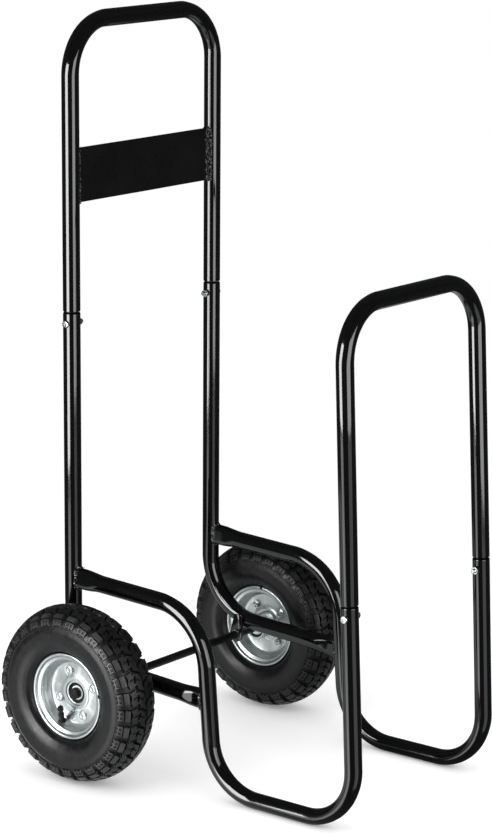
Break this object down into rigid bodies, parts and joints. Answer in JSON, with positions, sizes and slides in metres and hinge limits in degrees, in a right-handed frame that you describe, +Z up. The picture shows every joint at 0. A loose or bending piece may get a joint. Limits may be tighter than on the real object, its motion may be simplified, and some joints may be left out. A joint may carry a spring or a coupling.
{
  "type": "firewood log cart",
  "caption": "Upright firewood carrier of bent black steel tube with a tall handle, a front loop that makes a log bay, and air-filled wheels on an axle.",
  "frame": {"origin": "on the ground under the middle of the cart's bounding box", "axes": "+Z up; -Y is the open log-bay front with the front loop, +Y the side of the handle and the wheels; +X is the pusher's left"},
  "size_m": [0.519, 0.5852, 1.0905],
  "materials": {
    "frame_paint": "gloss black powder coat",
    "axle_paint": "satin black paint",
    "zinc": "bright zinc plate",
    "tyre": "moulded rubber, matt tread and satin sidewall",
    "tube_rubber": "matt butyl rubber",
    "black_plastic": "moulded black plastic",
    "nylon": "natural nylon"
  },
  "bodies": {
    "frame": {"handle": "frame_paint", "front_loop": "frame_paint", "handle_plate": "frame_paint", "axle": "axle_paint", "rear_frame_left": "frame_paint", "foot_frame_left": "frame_paint", "axle_bracket_left": "frame_paint", "rear_screw_left": "zinc", "rear_nut_left": "zinc", "front_screw_left": "zinc", "front_nut_left": "zinc", "inner_washer_left": "zinc", "outer_washer_left": "zinc", "axle_cap_left": "black_plastic", "rear_frame_right": "frame_paint", "foot_frame_right": "frame_paint", "axle_bracket_right": "frame_paint", "rear_screw_right": "zinc", "rear_nut_right": "zinc", "front_screw_right": "zinc", "front_nut_right": "zinc", "inner_washer_right": "zinc", "outer_washer_right": "zinc", "axle_cap_right": "black_plastic"},
    "wheel_left": {"tyre_left": "tyre", "inner_tube_left": "tube_rubber", "valve_cap_left": "black_plastic", "rim_outer_left": "zinc", "rim_inner_left": "zinc", "hub_left": "zinc", "inner_bush_left": "nylon", "outer_bush_left": "nylon", "rim_bolt_1_left": "zinc", "rim_nut_1_left": "zinc", "rim_bolt_2_left": "zinc", "rim_nut_2_left": "zinc", "rim_bolt_3_left": "zinc", "rim_nut_3_left": "zinc", "rim_bolt_4_left": "zinc", "rim_nut_4_left": "zinc"},
    "wheel_right": {"tyre_right": "tyre", "inner_tube_right": "tube_rubber", "valve_cap_right": "black_plastic", "rim_outer_right": "zinc", "rim_inner_right": "zinc", "hub_right": "zinc", "inner_bush_right": "nylon", "outer_bush_right": "nylon", "rim_bolt_1_right": "zinc", "rim_nut_1_right": "zinc", "rim_bolt_2_right": "zinc", "rim_nut_2_right": "zinc", "rim_bolt_3_right": "zinc", "rim_nut_3_right": "zinc", "rim_bolt_4_right": "zinc", "rim_nut_4_right": "zinc"}
  },
  "joints": [
    {"name": "wheel_left_spin", "type": "hinge", "parent": "frame", "child": "wheel_left", "pos_m": [0.223, 0.16263, 0.13], "axis": [1, 0, 0], "continuous": true},
    {"name": "wheel_right_spin", "type": "hinge", "parent": "frame", "child": "wheel_right", "pos_m": [-0.223, 0.16263, 0.13], "axis": [1, 0, 0], "continuous": true}
  ]
}
